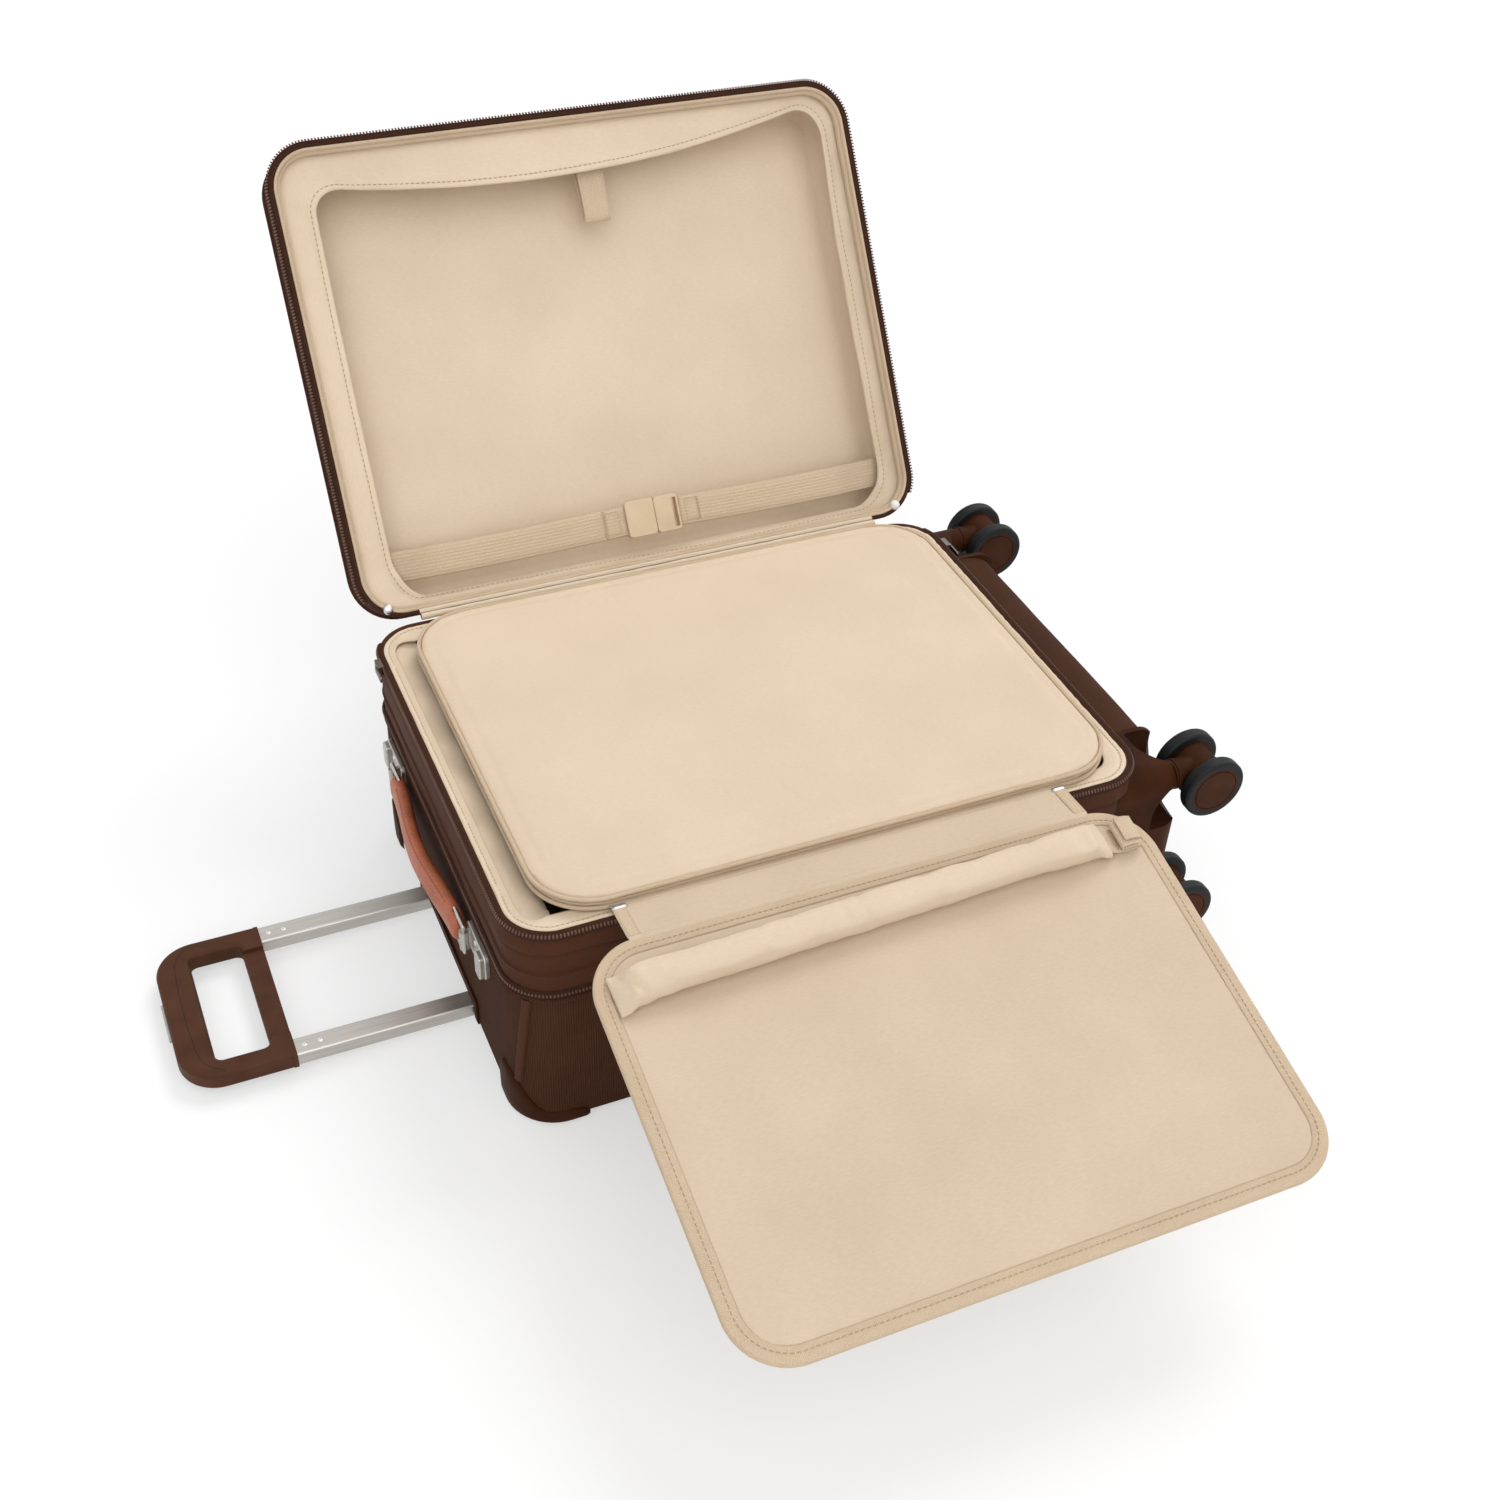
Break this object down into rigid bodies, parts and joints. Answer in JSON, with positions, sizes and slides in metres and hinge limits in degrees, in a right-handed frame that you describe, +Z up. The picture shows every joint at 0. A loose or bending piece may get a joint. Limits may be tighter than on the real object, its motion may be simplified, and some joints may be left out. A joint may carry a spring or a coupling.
{
  "type": "spinner suitcase",
  "caption": "Open soft-sided travel suitcase lying on its back, with a hinged lid, fold-out padded garment folder, telescopic trolley handle, leather carry handles and swivelling casters.",
  "frame": {"origin": "middle of the skid rails' underside, where the suitcase rests on the floor on its back", "axes": "+X from the trolley grip to the wheels, +Y from the opening side to the lid hinge, +Z up"},
  "size_m": [0.9368, 1.1083, 0.5969],
  "materials": {
    "twill": "ribbed twill",
    "lining_cloth": "smooth woven",
    "panel_cloth": "padded, quilt-free",
    "flap_cloth": "smooth woven",
    "binding": "grosgrain",
    "pale_webbing": "webbing",
    "zip_tape": "coil zip",
    "zip_metal": "antique plated",
    "moulded_plastic": "fine grain",
    "buckle_plastic": "satin",
    "button_plastic": "satin",
    "grip_plastic": "soft touch",
    "hub_plastic": "satin",
    "tyre_rubber": "smooth",
    "tube_metal": "satin anodised",
    "bracket_metal": "brushed",
    "tan_leather": "smooth, stitched"
  },
  "bodies": {
    "tub": {"tub_shell": "twill", "tub_lining": "lining_cloth", "tub_zip": "zip_tape", "expansion_zip": "zip_tape", "back_cover": "moulded_plastic", "skid_rails": "moulded_plastic", "corner_guards": "moulded_plastic", "base_tray": "twill", "wheel_housings": "moulded_plastic", "caster_bushes": "moulded_plastic", "hinge_cord": "twill", "hinge_tape": "lining_cloth", "trolley_outer_tubes": "tube_metal", "trolley_cup": "moulded_plastic", "top_handle_brackets": "bracket_metal", "side_handle_brackets": "bracket_metal"},
    "lid": {"lid_shell": "twill", "lid_lining": "lining_cloth", "lid_zip": "zip_tape", "lid_frame": "lining_cloth", "hanger_loop": "pale_webbing", "lid_belt": "pale_webbing", "buckle_socket": "buckle_plastic", "buckle_tongue": "buckle_plastic", "front_pockets": "twill", "pocket_zips": "zip_tape"},
    "middle_panel": {"middle_panel": "panel_cloth", "middle_piping": "binding"},
    "fold_strip": {"fold_strip": "flap_cloth"},
    "flap": {"flap_panel": "flap_cloth", "flap_binding": "binding", "roller_bar": "panel_cloth", "bar_strap": "pale_webbing"},
    "trolley_middle": {"trolley_middle_tubes": "tube_metal"},
    "trolley_inner": {"trolley_inner_tubes": "tube_metal", "trolley_grip": "grip_plastic"},
    "release_button": {"release_button": "button_plastic"},
    "main_slider_left": {"main_slider_left": "zip_metal"},
    "main_slider_right": {"main_slider_right": "zip_metal"},
    "expansion_slider": {"expansion_slider": "zip_metal"},
    "pocket_slider_1": {"pocket_slider_1": "zip_metal"},
    "pocket_slider_2": {"pocket_slider_2": "zip_metal"},
    "top_handle": {"top_handle_grip": "tan_leather"},
    "top_link_a": {"top_handle_link_a": "bracket_metal"},
    "top_link_b": {"top_handle_link_b": "bracket_metal"},
    "side_handle": {"side_handle_grip": "tan_leather"},
    "side_link_a": {"side_handle_link_a": "bracket_metal"},
    "side_link_b": {"side_handle_link_b": "bracket_metal"},
    "swivel_near_upper": {"fork_near_upper": "moulded_plastic"},
    "wheels_near_upper": {"hubs_near_upper": "hub_plastic", "tyres_near_upper": "tyre_rubber"},
    "swivel_far_upper": {"fork_far_upper": "moulded_plastic"},
    "wheels_far_upper": {"hubs_far_upper": "hub_plastic", "tyres_far_upper": "tyre_rubber"},
    "swivel_near_lower": {"fork_near_lower": "moulded_plastic"},
    "wheels_near_lower": {"hubs_near_lower": "hub_plastic", "tyres_near_lower": "tyre_rubber"},
    "swivel_far_lower": {"fork_far_lower": "moulded_plastic"},
    "wheels_far_lower": {"hubs_far_lower": "hub_plastic", "tyres_far_lower": "tyre_rubber"}
  },
  "joints": [
    {"name": "lid_hinge", "type": "hinge", "parent": "tub", "child": "lid", "pos_m": [0, 0.2222, 0.231], "axis": [-1, 0, 0], "range_deg": [-124, 56]},
    {"name": "panel_lift", "type": "hinge", "parent": "tub", "child": "middle_panel", "pos_m": [0, 0.212, 0.2313], "axis": [-1, 0, 0], "range_deg": [0, 85]},
    {"name": "strip_fold", "type": "hinge", "parent": "middle_panel", "child": "fold_strip", "pos_m": [0, -0.2101, 0.2313], "axis": [-1, 0, 0], "range_deg": [-11.1, 86.3]},
    {"name": "flap_fold", "type": "hinge", "parent": "fold_strip", "child": "flap", "pos_m": [0, -0.25004, 0.23353], "axis": [-1, 0, 0], "range_deg": [-13.8, 106.8]},
    {"name": "trolley_middle_slide", "type": "slide", "parent": "tub", "child": "trolley_middle", "axis": [-1, 0, 0], "range_m": [0, 0.2]},
    {"name": "trolley_inner_slide", "type": "slide", "parent": "trolley_middle", "child": "trolley_inner", "axis": [-1, 0, 0], "range_m": [-0.245, 0.06]},
    {"name": "button_press", "type": "slide", "parent": "trolley_inner", "child": "release_button", "axis": [1, 0, 0], "range_m": [0, 0.004], "stiffness_N_per_m": 200},
    {"name": "top_handle_lift", "type": "slide", "parent": "tub", "child": "top_handle", "axis": [-1, 0, 0], "range_m": [0, 0.0148]},
    {"name": "top_link_a_turn", "type": "hinge", "parent": "tub", "child": "top_link_a", "pos_m": [-0.2995, -0.102, 0.128], "axis": [0, 0, 1], "range_deg": [0, 38.1]},
    {"name": "top_link_b_turn", "type": "hinge", "parent": "tub", "child": "top_link_b", "pos_m": [-0.2995, 0.126, 0.128], "axis": [0, 0, -1], "range_deg": [0, 38.1]},
    {"name": "side_handle_lift", "type": "slide", "parent": "tub", "child": "side_handle", "axis": [0, -1, 0], "range_m": [0, 0.0148]},
    {"name": "side_link_a_turn", "type": "hinge", "parent": "tub", "child": "side_link_a", "pos_m": [0.114, -0.2295, 0.106], "axis": [0, 0, 1], "range_deg": [0, 38.1]},
    {"name": "side_link_b_turn", "type": "hinge", "parent": "tub", "child": "side_link_b", "pos_m": [-0.114, -0.2295, 0.106], "axis": [0, 0, -1], "range_deg": [0, 38.1]},
    {"name": "main_slider_left_run", "type": "slide", "parent": "tub", "child": "main_slider_left", "axis": [0, -1, 0], "range_m": [0, 0.318]},
    {"name": "main_slider_right_run", "type": "slide", "parent": "tub", "child": "main_slider_right", "axis": [0, -1, 0], "range_m": [0, 0.318]},
    {"name": "expansion_slider_run", "type": "slide", "parent": "tub", "child": "expansion_slider", "axis": [1, 0, 0], "range_m": [0, 0.4]},
    {"name": "pocket_slider_1_run", "type": "slide", "parent": "lid", "child": "pocket_slider_1", "axis": [0, -0.5592, -0.829], "range_m": [0, 0.3]},
    {"name": "pocket_slider_2_run", "type": "slide", "parent": "lid", "child": "pocket_slider_2", "axis": [0, -0.5592, -0.829], "range_m": [0, 0.3]},
    {"name": "swivel_near_upper_turn", "type": "hinge", "parent": "tub", "child": "swivel_near_upper", "pos_m": [0.3283, -0.202, 0.2015], "axis": [1, 0, 0], "continuous": true},
    {"name": "wheels_near_upper_roll", "type": "hinge", "parent": "swivel_near_upper", "child": "wheels_near_upper", "pos_m": [0.3588, -0.202, 0.1945], "axis": [0, 1, 0], "continuous": true},
    {"name": "swivel_far_upper_turn", "type": "hinge", "parent": "tub", "child": "swivel_far_upper", "pos_m": [0.3283, 0.202, 0.2015], "axis": [1, 0, 0], "continuous": true},
    {"name": "wheels_far_upper_roll", "type": "hinge", "parent": "swivel_far_upper", "child": "wheels_far_upper", "pos_m": [0.3588, 0.202, 0.1945], "axis": [0, 1, 0], "continuous": true},
    {"name": "swivel_near_lower_turn", "type": "hinge", "parent": "tub", "child": "swivel_near_lower", "pos_m": [0.3283, -0.202, 0.051], "axis": [1, 0, 0], "continuous": true},
    {"name": "wheels_near_lower_roll", "type": "hinge", "parent": "swivel_near_lower", "child": "wheels_near_lower", "pos_m": [0.3588, -0.202, 0.044], "axis": [0, 1, 0], "continuous": true},
    {"name": "swivel_far_lower_turn", "type": "hinge", "parent": "tub", "child": "swivel_far_lower", "pos_m": [0.3283, 0.202, 0.051], "axis": [1, 0, 0], "continuous": true},
    {"name": "wheels_far_lower_roll", "type": "hinge", "parent": "swivel_far_lower", "child": "wheels_far_lower", "pos_m": [0.3588, 0.202, 0.044], "axis": [0, 1, 0], "continuous": true}
  ],
  "couplings": [
    {"joint": "flap_fold", "follows": "strip_fold", "ratio": 1.237},
    {"joint": "top_link_a_turn", "follows": "top_handle_lift", "rad_per_m": 44.8},
    {"joint": "top_link_b_turn", "follows": "top_handle_lift", "rad_per_m": 44.8},
    {"joint": "side_link_a_turn", "follows": "side_handle_lift", "rad_per_m": 44.8},
    {"joint": "side_link_b_turn", "follows": "side_handle_lift", "rad_per_m": 44.8}
  ]
}
